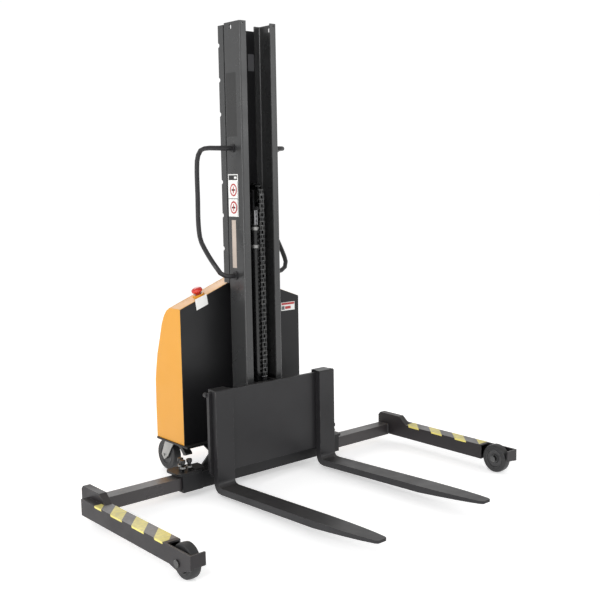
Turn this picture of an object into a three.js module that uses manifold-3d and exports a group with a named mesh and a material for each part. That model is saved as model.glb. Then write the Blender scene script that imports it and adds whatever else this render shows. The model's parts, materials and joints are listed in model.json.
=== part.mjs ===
// Walkie stacker: narrow fixed mast, powered lift, pushed by hand, with adjustable forks and support legs.
// Millimetres. +Z up, the forks point along -Y, the operator stands on the +Y side. The mast's front face
// is y = 0, its middle is x = 0 and the floor is z = 0 until the last lines centre the whole group.
import * as THREE from "three";
import Module from "manifold-3d";
import { mergeVertices } from "three/addons/utils/BufferGeometryUtils.js";

const wasm = await Module();
wasm.setup();

// ---- Driving dimensions ----
const GAP = 0.3; // air left between two pieces that touch
const MAST_H = 1980; // top of the mast above the floor
const MAST_HALF = 99; // mast middle to the outside of a channel
const CHANNEL_DEPTH = 115; // front face to rear face of a channel
const FLANGE = 34;
const WALL = 7;
const STRIP_REACH = 38; // how far a guard strip stands behind the mast
const STRIP_LOW = 875;
const NOTCH_PITCH = 144.5;

const RECEIVER_END = { left: 453, right: 430 }; // the receiver is the wide tube across the base
const RECEIVER_D = 82; // its outside, front to back
const RECEIVER_H = 70; // and its outside height
const RECEIVER_Z = 69.5; // height of its middle
const RECEIVER_Y = 35;
const SLEEVE = 98; // length of the thicker sleeve at each end
const SLEEVE_LIP = 3;
const TUBE_D = 62; // leg tube that slides in the receiver, front to back
const TUBE_H = 52;
const TUBE_PLAY = 2;
const TUBE_LENGTH = 525;

const LEG_W = 62;
const LEG_LOW = 47;
const LEG_HIGH = 112;
const LEG_OUT = { left: 904, right: 842 }; // mast middle to the outer face of each leg
const LEG_FRONT = 730;
const LEG_REAR = 20;
const GUSSET_REAR = 72;
const LOAD_WHEEL_R = 63;
const LOAD_WHEEL_W = 40;
const LOAD_WHEEL_Y = -650;
const AXLE_R = 8;

const CASTER_X = 252;
const SWIVEL_Y = 354;
const TRAIL = 54;
const CASTER_R = 71;
const CASTER_W = 42;

const BASE_Z = 168; // underside of the base plate
const BASE_T = 8;
const BASE_FRONT = 128;
const BASE_REAR = 412;
const BODY_HALF = 332;
const PANEL_Y = 157;
const PANEL_T = 3;
const BODY_EDGE_Z = 775; // height of the body at its sides
const GABLE = 0.37; // rise of the top towards the middle
const COVER_WALL = 4;

const LIFT_X = 8; // the cylinder and the chain sit a little off the middle
const CYL_Y = 60;
const BARREL_R = 28;
const ROD_R = 16;
const BARREL_TOP = 1127;
const SHEAVE_Z = 1258;
const CHAIN_R = 45; // sheave middle to the chain's middle
const CHAIN_W = 26;
const CHAIN_T = 12;

const PLATE_HALF = 345; // carriage plate
const PLATE_LOW = 100;
const PLATE_HIGH = 449;
const PLATE_FRONT = -56;
const PLATE_REAR = -40;
const PLAY = 0.8; // running clearance of the fork hooks on the plate
const HOOK_REAR = -22; // how far back the hooks reach
const ARM_X = [46, 58];
const ROLLER_R = 50;
const ROLLER_Z = [172, 398];

const FORK_W = 88;
const FORK_T = 28; // thickness of the shank
const FORK_LENGTH = 920;
const FORK_RISE = 34; // how much higher the tip's top is than the heel's
const FORK_X = { left: -330, right: 245 }; // left edge of each fork
const HEEL_TOP = 48;

const HANDLE_R = 10.5;

// ---- Shapes, all made as manifold-3d solids ----
const solidOf = (geometry) => {
  const plain = (geometry.index ? geometry.toNonIndexed() : geometry).clone();
  const merged = mergeVertices(
    new THREE.BufferGeometry().setAttribute("position", plain.getAttribute("position")),
    1e-4,
  );
  return new wasm.Manifold(
    new wasm.Mesh({
      numProp: 3,
      vertProperties: new Float32Array(merged.attributes.position.array),
      triVerts: new Uint32Array(merged.index.array),
    }),
  );
};

const geometryOf = (solid) => {
  const mesh = solid.getMesh();
  const points = new Float32Array(mesh.numVert * 3);
  for (let i = 0; i < mesh.numVert; i++)
    points.set(mesh.vertProperties.subarray(i * mesh.numProp, i * mesh.numProp + 3), i * 3);
  return new THREE.BufferGeometry()
    .setAttribute("position", new THREE.BufferAttribute(points, 3))
    .setIndex(new THREE.BufferAttribute(new Uint32Array(mesh.triVerts), 1))
    .toNonIndexed();
};

const box = (x0, x1, y0, y1, z0, z1) =>
  solidOf(
    new THREE.BoxGeometry(x1 - x0, y1 - y0, z1 - z0).translate(
      (x0 + x1) / 2,
      (y0 + y1) / 2,
      (z0 + z1) / 2,
    ),
  );

// Turns a shape drawn in (u, v) and extruded along w so that it lies across the named axis:
// x: u is y, v is z. y: u is x, v is z. z: u is x, v is y.
const BASIS = {
  x: new THREE.Matrix4().makeBasis(
    new THREE.Vector3(0, 1, 0),
    new THREE.Vector3(0, 0, 1),
    new THREE.Vector3(1, 0, 0),
  ),
  y: new THREE.Matrix4().makeBasis(
    new THREE.Vector3(1, 0, 0),
    new THREE.Vector3(0, 0, 1),
    new THREE.Vector3(0, -1, 0),
  ),
  z: new THREE.Matrix4(),
};

const shapeOf = (outline) =>
  outline instanceof THREE.Shape
    ? outline
    : new THREE.Shape(outline.map(([u, v]) => new THREE.Vector2(u, v)));

// A flat outline given thickness from one station to the next along an axis.
const prism = (axis, outline, from, to, curveSegments = 5) => {
  const geometry = new THREE.ExtrudeGeometry(shapeOf(outline), {
    depth: to - from,
    bevelEnabled: false,
    curveSegments,
  });
  geometry.applyMatrix4(BASIS[axis]);
  const start = axis === "y" ? to : from;
  geometry.translate(axis === "x" ? start : 0, axis === "y" ? start : 0, axis === "z" ? start : 0);
  return solidOf(geometry);
};

// A round bar along an axis, centred on [u, v] in the plane across it (same u, v as prism).
const rod = (axis, [u, v], radius, from, to, segments = 24) => {
  const outline = [];
  for (let i = 0; i < segments; i++) {
    const a = ((i + 0.5) / segments) * 2 * Math.PI;
    outline.push([u + radius * Math.cos(a), v + radius * Math.sin(a)]);
  }
  return prism(axis, outline, from, to);
};

const roundedRect = (u0, u1, v0, v1, r) => {
  const s = new THREE.Shape();
  s.moveTo(u0 + r, v0);
  s.lineTo(u1 - r, v0);
  s.absarc(u1 - r, v0 + r, r, -Math.PI / 2, 0);
  s.lineTo(u1, v1 - r);
  s.absarc(u1 - r, v1 - r, r, 0, Math.PI / 2);
  s.lineTo(u0 + r, v1);
  s.absarc(u0 + r, v1 - r, r, Math.PI / 2, Math.PI);
  s.lineTo(u0, v0 + r);
  s.absarc(u0 + r, v0 + r, r, Math.PI, 1.5 * Math.PI);
  return s;
};

const along = (points, radius, steps, around) => {
  const section = new THREE.Shape();
  section.absarc(0, 0, radius, 0, 2 * Math.PI);
  const path = new THREE.CatmullRomCurve3(
    points.map((p) => new THREE.Vector3(...p)),
    false,
    "centripetal",
  );
  return solidOf(
    new THREE.ExtrudeGeometry(section, { steps, extrudePath: path, curveSegments: around }),
  );
};

const lathe = (axis, [u, v], profile, start, segments = 28) => {
  const g = new THREE.LatheGeometry(
    profile.map(([r, h]) => new THREE.Vector2(r, h)),
    segments,
  );
  g.applyMatrix4(new THREE.Matrix4().makeRotationX(Math.PI / 2));
  g.applyMatrix4(BASIS[axis]);
  const at = { x: [start, u, v], y: [u, start, v], z: [u, v, start] }[axis];
  g.translate(...at);
  const s = solidOf(g);
  return s;
};

// A plain wheel about the x axis, its tread rounded at both sides.
const wheelSolid = (x, c, radius, width) => {
  const half = width / 2;
  const profile = [
    [0, -half],
    [radius - 9, -half],
    [radius - 2, -half + 4],
    [radius, -half + 10],
    [radius, half - 10],
    [radius - 2, half - 4],
    [radius - 9, half],
    [0, half],
  ];
  return lathe("x", c, profile, x, 32);
};

const place = (solid, matrix) => solidOf(geometryOf(solid).applyMatrix4(matrix));

const sides = [
  ["left", -1],
  ["right", 1],
];

// Swaps a box's x range to the other side when side is -1.
const boxSide = (side, x0, x1, ...rest) =>
  side < 0 ? box(-x1, -x0, ...rest) : box(x0, x1, ...rest);

const outlineSide = (side, outline) => outline.map(([u, v]) => [side * u, v]);

// ---- Finishes ----
const paint = {
  black: [0x232325, 0.45, 0.2],
  charcoal: [0x37363a, 0.5, 0.2],
  orange: [0xf0a63c, 0.35, 0.1],
  zinc: [0xb3b3ae, 0.4, 0.9],
  steel: [0x8b8d90, 0.35, 0.9],
  chrome: [0xd5d7da, 0.12, 1.0],
  rubber: [0x1c1c1d, 0.8, 0.0],
  poly: [0x2a2a2c, 0.6, 0.0],
  red: [0xc02a22, 0.35, 0.0],
  plastic: [0x18181a, 0.5, 0.0],
  battery: [0x2b3138, 0.55, 0.0],
  hose: [0x141415, 0.6, 0.0],
};

const stacker = new THREE.Group();
const add = (name, solid, finish) => {
  const [color, roughness, metalness] = paint[finish];
  const mesh = new THREE.Mesh(
    geometryOf(solid),
    new THREE.MeshStandardMaterial({ color, roughness, metalness }),
  );
  mesh.geometry.computeVertexNormals();
  mesh.name = name;
  stacker.add(mesh);
};

// ---- Base: receiver tube, leg locks ----
const receiverTop = RECEIVER_Z + RECEIVER_H / 2;
const receiverLow = RECEIVER_Z - RECEIVER_H / 2;
const receiverFront = RECEIVER_Y - RECEIVER_D / 2;
const receiverRear = RECEIVER_Y + RECEIVER_D / 2;
const tubeHalfD = TUBE_D / 2;
const tubeHalfH = TUBE_H / 2;
const clampTop = receiverTop + 11;
// Lock screws, measured in from the receiver's end: [distance, y].
const LOCKS = [
  [16, 16],
  [49, 16],
  [28, 50],
];
const LOCK_R = 6;

// A span between two distances out from the middle, on one side, in rising order.
const span = (side, a, b) => [Math.min(side * a, side * b), Math.max(side * a, side * b)];

let receiver = box(
  -RECEIVER_END.left,
  RECEIVER_END.right,
  receiverFront,
  receiverRear,
  receiverLow,
  receiverTop,
);
for (const [name, side] of sides) {
  const end = RECEIVER_END[name];
  receiver = receiver
    .add(
      box(
        ...span(side, end - SLEEVE, end),
        receiverFront - SLEEVE_LIP,
        receiverRear + SLEEVE_LIP,
        receiverLow - 1,
        receiverTop + SLEEVE_LIP,
      ),
    )
    .add(
      prism(
        "z",
        roundedRect(...span(side, end - SLEEVE - 4, end + 20), receiverFront - 4, receiverRear + 22, 18),
        receiverTop + 1,
        clampTop,
        3,
      ),
    )
    .add(
      prism(
        "x",
        [
          [receiverFront + 6, receiverTop],
          [receiverRear - 18, receiverTop],
          [receiverRear - 18, clampTop + 6],
          [receiverRear - 27, clampTop + 14],
          [receiverFront + 15, clampTop + 14],
          [receiverFront + 6, clampTop + 6],
        ],
        ...span(side, end - SLEEVE - 14, end - 66),
      ),
    );
}
receiver = receiver.subtract(
  box(
    -600,
    600,
    RECEIVER_Y - tubeHalfD - TUBE_PLAY,
    RECEIVER_Y + tubeHalfD + TUBE_PLAY,
    RECEIVER_Z - tubeHalfH - TUBE_PLAY,
    RECEIVER_Z + tubeHalfH + TUBE_PLAY,
  ),
);
for (const [name, side] of sides)
  for (const [inset, y] of LOCKS)
    receiver = receiver.subtract(
      rod("z", [side * (RECEIVER_END[name] - inset), y], LOCK_R + 0.5, RECEIVER_Z, 140, 12),
    );
add("receiver_tube", receiver, "black");

for (const [name, side] of sides)
  LOCKS.forEach(([inset, y], i) => {
    const c = [side * (RECEIVER_END[name] - inset), y];
    const screw = rod("z", c, LOCK_R, RECEIVER_Z + tubeHalfH + GAP, clampTop + 20, 10)
      .add(rod("z", c, 10.5, clampTop + GAP, clampTop + 13, 6))
      .add(
        lathe(
          "z",
          c,
          [
            [0, 0],
            [8, 0],
            [8, 10],
            [13, 18],
            [13, 30],
            [8, 36],
            [0, 36],
          ],
          clampTop + 16,
          12,
        ),
      );
    add(`lock_screw_${name}_${i + 1}`, screw, "plastic");
  });

// ---- Mast ----
const channelOutline = (side) => {
  const s = new THREE.Shape();
  const out = MAST_HALF;
  const r = 9;
  const inner = 3;
  s.moveTo(out - FLANGE, 0);
  s.lineTo(out - r, 0);
  s.absarc(out - r, r, r, -Math.PI / 2, 0);
  s.lineTo(out, CHANNEL_DEPTH - r);
  s.absarc(out - r, CHANNEL_DEPTH - r, r, 0, Math.PI / 2);
  s.lineTo(out - FLANGE, CHANNEL_DEPTH);
  s.lineTo(out - FLANGE, CHANNEL_DEPTH - WALL);
  s.lineTo(out - WALL - inner, CHANNEL_DEPTH - WALL);
  s.lineTo(out - WALL, CHANNEL_DEPTH - WALL - inner);
  s.lineTo(out - WALL, WALL + inner);
  s.lineTo(out - WALL - inner, WALL);
  s.lineTo(out - FLANGE, WALL);
  const points = s.extractPoints(4).shape.map((p) => [side * p.x, p.y]);
  return side < 0 ? points.reverse() : points;
};

const SLOT_Y = { left: 57, right: 37 }; // lifting slots near the top of the webs
const SLOT_WIDTH = 17;
const SLOT_HEIGHT = 21;
const SLOT_DOWN = 10; // from the mast's top to the slot
const GUSSET_OUT = 312;
const GUSSET_TOP = 330;
const GUSSET_Y = 52;
for (const [name, side] of sides) {
  const foot = receiverTop + GAP;
  const channel = prism("z", channelOutline(side), foot, MAST_H)
    .add(
      prism(
        "y",
        outlineSide(side, [
          [MAST_HALF - 3, foot],
          [GUSSET_OUT, foot],
          [GUSSET_OUT, foot + 8],
          [MAST_HALF - 3, GUSSET_TOP],
        ]),
        GUSSET_Y,
        GUSSET_Y + 10,
      ),
    )
    .subtract(
      prism(
        "x",
        roundedRect(
          SLOT_Y[name],
          SLOT_Y[name] + SLOT_WIDTH,
          MAST_H - SLOT_DOWN - SLOT_HEIGHT,
          MAST_H - SLOT_DOWN,
          SLOT_WIDTH / 2 - 0.1,
        ),
        side * MAST_HALF - 20,
        side * MAST_HALF + 20,
        3,
      ),
    )
    .subtract(rod("y", [side * (MAST_HALF - 17), MAST_H - 11], 3.5, -5, WALL + 5, 12));
  add(`mast_channel_${name}`, channel, "charcoal");

  const stripTop = MAST_H - 6;
  let strip = boxSide(
    side,
    MAST_HALF - 4,
    MAST_HALF,
    CHANNEL_DEPTH + GAP,
    CHANNEL_DEPTH + STRIP_REACH,
    STRIP_LOW,
    stripTop,
  ).add(
    boxSide(side, MAST_HALF - 28, MAST_HALF, CHANNEL_DEPTH + GAP, CHANNEL_DEPTH + 4, STRIP_LOW, stripTop),
  );
  for (let z = MAST_H - 88; z > STRIP_LOW + 60; z -= NOTCH_PITCH)
    strip = strip.subtract(
      rod("x", [CHANNEL_DEPTH + STRIP_REACH, z], 9, side * MAST_HALF - 10, side * MAST_HALF + 10, 16),
    );
  add(`guard_strip_${name}`, strip, "charcoal");
}

// The plate closes the mast behind the channels; the hose passes under it.
const BACK_PLATE_LOW = 250;
const backPlateHalf = MAST_HALF - 28 - 1;
add(
  "mast_back_plate",
  box(
    -backPlateHalf,
    backPlateHalf,
    CHANNEL_DEPTH + GAP,
    CHANNEL_DEPTH + 4,
    BACK_PLATE_LOW,
    MAST_H - 20,
  ),
  "black",
);

// ---- Push handles: out from the web, back, down and in again ----
const HANDLE_X = 208; // how far out the grip stands
const HANDLE_PATH = [
  [MAST_HALF + 3, 66, 1457],
  [HANDLE_X - 60, 66, 1457],
  [HANDLE_X - 32, 71, 1457],
  [HANDLE_X - 15, 88, 1458],
  [HANDLE_X - 5, 116, 1458],
  [HANDLE_X - 1, 146, 1452],
  [HANDLE_X, 172, 1423],
  [HANDLE_X, 180, 1380],
  [HANDLE_X, 181, 1250],
  [HANDLE_X, 181, 1127],
  [HANDLE_X, 170, 1070],
  [HANDLE_X - 1, 145, 1034],
  [HANDLE_X - 8, 101, 980],
  [HANDLE_X - 16, 77, 950],
  [HANDLE_X - 34, 67, 922],
  [HANDLE_X - 70, 66, 911],
  [MAST_HALF + 3, 66, 911],
];
for (const [name, side] of sides) {
  const ends = [HANDLE_PATH[0], HANDLE_PATH[HANDLE_PATH.length - 1]];
  let handle = along(
    HANDLE_PATH.map(([x, y, z]) => [side * x, y, z]),
    HANDLE_R,
    30,
    4,
  );
  for (const [, y, z] of ends) {
    const from = MAST_HALF + GAP;
    handle = handle
      .add(
        rod("x", [y, z], 18, ...span(side, from, from + 6), 16),
      );
  }
  add(`push_handle_${name}`, handle, "plastic");
}

// ---- Body: base frame, front panel, orange cover ----
const RAIL = [104, 114];
const baseHalf = BODY_HALF + 6;
let baseFrame = prism(
  "z",
  [
    [-baseHalf, BASE_FRONT],
    [baseHalf, BASE_FRONT],
    [baseHalf, BASE_REAR - 40],
    [baseHalf - 38, BASE_REAR],
    [38 - baseHalf, BASE_REAR],
    [-baseHalf, BASE_REAR - 40],
  ],
  BASE_Z,
  BASE_Z + BASE_T,
);
// The apron hangs below the plate's front edge, narrowing to the receiver.
baseFrame = baseFrame.add(
  prism(
    "y",
    [
      [-252, BASE_Z + 1],
      [-220, 134],
      [-196, 101],
      [196, 101],
      [220, 134],
      [252, BASE_Z + 1],
    ],
    BASE_FRONT,
    BASE_FRONT + 6,
  ),
);
const RAIL_LOW = 118; // underside of the rails beside the casters
const railOutline = [
  [receiverRear + GAP, receiverLow + 3],
  [BASE_FRONT + 4, receiverLow + 3],
  [BASE_FRONT + 72, RAIL_LOW],
  [BASE_REAR - 20, RAIL_LOW],
  [BASE_REAR - 20, BASE_Z + 1],
  [BASE_FRONT + 4, BASE_Z + 1],
  [BASE_FRONT + 4, receiverTop + 18],
  [receiverRear + GAP, receiverTop + 18],
];
for (const [, side] of sides)
  baseFrame = baseFrame.add(
    prism("x", railOutline, side < 0 ? -RAIL[1] : RAIL[0], side < 0 ? -RAIL[0] : RAIL[1]),
  );
baseFrame = baseFrame.add(
  box(-RAIL[1], RAIL[1], BASE_REAR - 36, BASE_REAR - 20, RAIL_LOW, BASE_Z + 1),
);
add("base_frame", baseFrame, "black");

const HOSE_HOLE = [60, 205];
const bodyLow = BASE_Z + BASE_T + GAP;
const panelOutline = [
  [-BODY_HALF, bodyLow],
  [-BODY_HALF, BODY_EDGE_Z],
  [0, BODY_EDGE_Z + GABLE * BODY_HALF],
  [BODY_HALF, BODY_EDGE_Z],
  [BODY_HALF, bodyLow],
].reverse();
add(
  "front_panel",
  prism("y", panelOutline, PANEL_Y, PANEL_Y + PANEL_T).subtract(
    rod("y", HOSE_HOLE, 14, PANEL_Y - 5, PANEL_Y + 10, 16),
  ),
  "black",
);

// The cover's side profile, from the bottom of its rear edge over the top to the front.
const coverProfile = (inset) => {
  const f = PANEL_Y + PANEL_T + GAP - (inset ? 5 : 0);
  return [
    [f, bodyLow - (inset ? 5 : 0)],
    [377 - inset, bodyLow - (inset ? 5 : 0)],
    [378 - inset, 330],
    [376 - inset, 440],
    [368 - inset, 490],
    [354 - inset, 560],
    [330 - inset, 632],
    [309 - inset, 700],
    [290 - inset * 0.9, 736 - inset * 0.4],
    [270 - inset * 0.6, 760 - inset * 0.8],
    [243, 776 - inset],
    [f, 776 - inset],
  ];
};
// The profile runs across in stations; the upper part follows the gable and the back bulges a little.
const coverSolid = (inset) => {
  const half = BODY_HALF - inset;
  const stations = [];
  for (let i = 0; i <= 8; i++) stations.push(-half + (2 * half * i) / 8);
  const profile = coverProfile(inset);
  const n = profile.length;
  const points = [];
  for (const x of stations) {
    const t = Math.abs(x) / BODY_HALF;
    for (const [y, z] of profile) {
      const high = THREE.MathUtils.smoothstep(z, 420, 760);
      const back = THREE.MathUtils.smoothstep(y, 240, 330);
      const rise = GABLE * BODY_HALF * (1 - t) * high;
      const edge = 1 - Math.pow(t, 6);
      points.push([x, y + 22 * back * edge, z + rise]);
    }
  }
  const faces = THREE.ShapeUtils.triangulateShape(
    profile.map(([y, z]) => new THREE.Vector2(y, z)),
    [],
  );
  const tri = [];
  const last = (stations.length - 1) * n;
  for (const [a, b, c] of faces) {
    tri.push(a, c, b);
    tri.push(last + a, last + b, last + c);
  }
  for (let s = 0; s + 1 < stations.length; s++)
    for (let i = 0; i < n; i++) {
      const j = (i + 1) % n;
      const p = s * n;
      const q = p + n;
      tri.push(p + i, p + j, q + j, p + i, q + j, q + i);
    }
  const make = (index) =>
    new wasm.Manifold(
      new wasm.Mesh({
        numProp: 3,
        vertProperties: new Float32Array(points.flat()),
        triVerts: new Uint32Array(index),
      }),
    );
  const made = make(tri);
  if (made.volume() > 0) return made;
  const turned = [];
  for (let i = 0; i < tri.length; i += 3) turned.push(tri[i], tri[i + 2], tri[i + 1]);
  return make(turned);
};

// A frame standing on the sloped top at (x, y), its Z along the surface normal.
const coverTopZ = (x) => 776 + GABLE * (BODY_HALF - Math.abs(x));
const onTop = (x, y) => {
  const tilt = Math.sign(x) * Math.atan(GABLE);
  return new THREE.Matrix4()
    .makeTranslation(x, y, coverTopZ(x))
    .multiply(new THREE.Matrix4().makeRotationY(tilt));
};
const ESTOP_AT = [-204, 203];
const LEVER_AT = [150, 205];
const KEY_AT = [72, 205];

const estopFrame = onTop(...ESTOP_AT);
const leverFrame = onTop(...LEVER_AT);
const keyFrame = onTop(...KEY_AT);
const cover = coverSolid(0)
  .subtract(coverSolid(COVER_WALL))
  .add(place(rod("z", [0, 0], 27, -2, 7, 24), estopFrame))
  .add(place(box(-30, 30, -22, 22, -2, 6), leverFrame))
  .subtract(place(rod("z", [0, 0], 12, -20, 20, 20), estopFrame))
  .subtract(place(box(-7, 7, -17, 17, -20, 20), leverFrame))
  .subtract(place(rod("z", [0, 0], 9.5, -20, 20, 20), keyFrame));
add("rear_cover", cover, "orange");

add(
  "estop_button",
  place(
    lathe(
      "z",
      [0, 0],
      [
        [0, -12],
        [10, -12],
        [10, 14],
        [22, 15],
        [26, 20],
        [24, 28],
        [15, 33],
        [0, 34],
      ],
      0,
      24,
    ),
    estopFrame,
  ),
  "red",
);
add(
  "lift_lever",
  place(
    rod("x", [0, -6], 9, -6, 6, 16)
      .add(rod("z", [0, 0], 5, -6, 58, 12))
      .add(
        lathe(
          "z",
          [0, 0],
          [
            [0, 0],
            [7, 1],
            [13, 10],
            [13, 20],
            [8, 28],
            [0, 31],
          ],
          50,
          16,
        ),
      ),
    leverFrame,
  ),
  "plastic",
);
add(
  "key_switch",
  place(
    rod("z", [0, 0], 9, -14, 3, 20)
      .add(rod("z", [0, 0], 13, GAP, 4, 20))
      .add(box(-11, 11, -1.5, 1.5, 3, 26)),
    keyFrame,
  ),
  "steel",
);

// ---- Inside the body ----
const inside = bodyLow;
add("battery", box(60, 300, 190, 340, inside, inside + 210), "battery");
const PUMP_PORT = [-70, 194, inside + 40];
const pump = box(-130, -30, 202, 292, inside, inside + 80)
  .add(rod("z", [-80, 247], 40, inside + 79, inside + 250, 24))
  .add(rod("y", [PUMP_PORT[0], PUMP_PORT[2]], 12, PUMP_PORT[1], 203, 16));
add("pump_unit", pump, "steel");
add("oil_tank", prism("z", roundedRect(-300, -150, 190, 330, 20), inside, inside + 200, 4), "black");

// ---- Lift cylinder, rod, crosshead, sheave and chain ----
const liftAxis = [LIFT_X, CYL_Y];
const barrelLow = receiverTop + GAP;
const PORT_Z = 150;
const cylinder = rod("z", liftAxis, BARREL_R, barrelLow, BARREL_TOP, 28)
  .add(rod("y", [LIFT_X, PORT_Z], 11, CYL_Y + 20, CYL_Y + 34, 16))
  .subtract(rod("z", liftAxis, 22, 130, BARREL_TOP - 18, 28))
  .subtract(rod("z", liftAxis, ROD_R + GAP, 120 + 20, BARREL_TOP + 5, 28));
add("lift_cylinder", cylinder, "black");

for (const [name, z] of [
  ["upper", 1104],
  ["lower", 1026],
]) {
  let clamp = rod("z", liftAxis, BARREL_R + 4, z, z + 14, 28);
  for (const s of [-1, 1])
    clamp = clamp.add(
      box(
        LIFT_X + (s < 0 ? -32 : 20),
        LIFT_X + (s < 0 ? -20 : 32),
        CYL_Y,
        CHANNEL_DEPTH,
        z,
        z + 14,
      ),
    );
  if (name === "lower")
    clamp = clamp.add(box(LIFT_X - 32, LIFT_X + 32, CYL_Y + BARREL_R + 6, CHANNEL_DEPTH, z, z + 20));
  clamp = clamp.subtract(rod("z", liftAxis, BARREL_R + GAP, z - 5, z + 25, 28));
  add(`cylinder_clamp_${name}`, clamp, "zinc");
}

const CROSS_Z = 1190;
const rodTop = CROSS_Z - GAP;
add(
  "lift_rod",
  rod("z", liftAxis, ROD_R, 165, rodTop, 24).add(rod("z", liftAxis, 21.5, 160, 185, 24)),
  "chrome",
);
const sheaveSpan = [LIFT_X - CHAIN_W / 2 - 1, LIFT_X + CHAIN_W / 2 + 1];
const PIN_R = 8;
let crosshead = box(LIFT_X - 22, LIFT_X + 22, CYL_Y - 18, CYL_Y + 18, CROSS_Z, SHEAVE_Z - 53);
for (const s of [-1, 1])
  crosshead = crosshead.add(
    box(
      s < 0 ? sheaveSpan[0] - 9 : sheaveSpan[1] + 1,
      s < 0 ? sheaveSpan[0] - 1 : sheaveSpan[1] + 9,
      CYL_Y - 18,
      CYL_Y + 18,
      CROSS_Z,
      SHEAVE_Z + 20,
    ),
  );
crosshead = crosshead.add(
  rod("x", [CYL_Y, SHEAVE_Z], PIN_R, sheaveSpan[0] - 13, sheaveSpan[1] + 13, 20),
);
add("crosshead", crosshead, "black");
add(
  "chain_sheave",
  rod("x", [CYL_Y, SHEAVE_Z], CHAIN_R - CHAIN_T / 2 - GAP, sheaveSpan[0] + 0.5, sheaveSpan[1] - 0.5, 32)
    .subtract(rod("x", [CYL_Y, SHEAVE_Z], PIN_R + GAP, -50, 60, 20)),
  "steel",
);

// The chain: the run over the top of the sheave, with the front and rear runs hanging from it.
const chainX = [LIFT_X - CHAIN_W / 2, LIFT_X + CHAIN_W / 2];
const ANCHOR_TOP = 451;
add(
  "lift_chain_front",
  box(
    ...chainX,
    CYL_Y - CHAIN_R - CHAIN_T / 2,
    CYL_Y - CHAIN_R + CHAIN_T / 2,
    ANCHOR_TOP + GAP,
    SHEAVE_Z,
  ),
  "steel",
);
const rearAnchor = 1026 + 20 + GAP;
add(
  "lift_chain_rear",
  box(
    ...chainX,
    CYL_Y + CHAIN_R - CHAIN_T / 2,
    CYL_Y + CHAIN_R + CHAIN_T / 2,
    rearAnchor,
    SHEAVE_Z - 0.5,
  ),
  "steel",
);
let wrap = rod("x", [CYL_Y, SHEAVE_Z], CHAIN_R + CHAIN_T / 2, ...chainX, 32)
  .subtract(rod("x", [CYL_Y, SHEAVE_Z], CHAIN_R - CHAIN_T / 2, -50, 60, 32))
  .subtract(box(-80, 80, -50, 200, SHEAVE_Z - 90, SHEAVE_Z + GAP));
add("lift_chain_top", wrap, "steel");

// Hose from the pump, through the panel and under the back plate, to the cylinder's port.
add(
  "hydraulic_hose",
  along(
    [
      [LIFT_X, CYL_Y + 34 + GAP, PORT_Z],
      [LIFT_X, CYL_Y + 39, PORT_Z],
      [LIFT_X, CYL_Y + 46, PORT_Z + 1],
      [LIFT_X + 3, CYL_Y + 56, PORT_Z + 18],
      [34, 134, 199],
      [HOSE_HOLE[0] - 6, PANEL_Y - 3, HOSE_HOLE[1]],
      [HOSE_HOLE[0] - 6, 172, HOSE_HOLE[1] + 3],
      [20, 178, HOSE_HOLE[1] + 8],
      [-30, 178, PUMP_PORT[2] - 2],
      [PUMP_PORT[0] + 12, 179, PUMP_PORT[2]],
      [PUMP_PORT[0], 186, PUMP_PORT[2]],
      [PUMP_PORT[0], PUMP_PORT[1] - GAP, PUMP_PORT[2]],
    ],
    7,
    26,
    4,
  ),
  "hose",
);

// ---- Carriage ----
let carriagePlate = prism(
  "y",
  roundedRect(-PLATE_HALF, PLATE_HALF, PLATE_LOW, PLATE_HIGH, 6),
  PLATE_FRONT,
  PLATE_REAR,
  2,
);
// End stops behind the plate's top corners keep the fork hooks on.
for (const [, side] of sides)
  carriagePlate = carriagePlate.add(
    rod("y", [side * (PLATE_HALF - 4), PLATE_HIGH - 12], 11, PLATE_REAR - 1, HOOK_REAR, 16),
  );
add("carriage_plate", carriagePlate, "charcoal");
const rollerY = CHANNEL_DEPTH / 2;
const webInner = MAST_HALF - WALL;
const PIN_END = webInner - 2;
for (const [name, side] of sides) {
  let arm = boxSide(side, ...ARM_X, PLATE_REAR + GAP, rollerY + 14, 122, 440);
  arm = arm.subtract(boxSide(side, 0, 90, -22, rollerY + 40, 232, 338));
  for (const z of ROLLER_Z)
    arm = arm.add(
      rod("x", [rollerY, z], 12, ...[side * ARM_X[0], side * PIN_END].sort((a, b) => a - b), 20),
    );
  add(`carriage_arm_${name}`, arm, "charcoal");
  ROLLER_Z.forEach((z, i) =>
    add(
      `mast_roller_${name}_${i ? "upper" : "lower"}`,
      rod(
        "x",
        [rollerY, z],
        ROLLER_R,
        ...[side * (ARM_X[1] + 4), side * (PIN_END - 1)].sort((a, b) => a - b),
        28,
      ).subtract(rod("x", [rollerY, z], 12 + GAP, -120, 120, 20)),
      "steel",
    ),
  );
}
const anchorY = CYL_Y - CHAIN_R;
add(
  "chain_anchor",
  box(-ARM_X[0] + GAP, ARM_X[0] - GAP, anchorY - 12, anchorY + 8, 414, 436).add(
    box(LIFT_X - 10, LIFT_X + 10, anchorY - 6, anchorY + 6, 435, ANCHOR_TOP),
  ),
  "black",
);

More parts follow.
